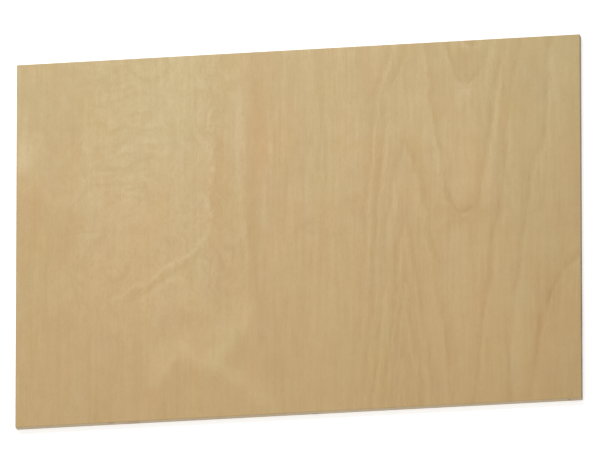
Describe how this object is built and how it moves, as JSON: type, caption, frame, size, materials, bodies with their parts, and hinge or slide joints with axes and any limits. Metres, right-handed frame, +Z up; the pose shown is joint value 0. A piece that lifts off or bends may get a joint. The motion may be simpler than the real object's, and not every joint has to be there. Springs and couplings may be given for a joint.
{
  "type": "plywood sheet",
  "caption": "Flat rectangular sheet of bare sanded birch plywood, with square sawn edges, eased arrises and a pale rotary-cut face veneer whose grain runs across its width.",
  "frame": {"origin": "middle of the underside, where the sheet rests when it lies flat", "axes": "+X along the sheet's length, +Y along its width and the face grain, +Z up through its thickness towards the show face"},
  "size_m": [0.6, 0.4, 0.009],
  "materials": {
    "birch_plywood": "satin"
  },
  "bodies": {
    "root": {"plywood_sheet": "birch_plywood"}
  },
  "joints": []
}
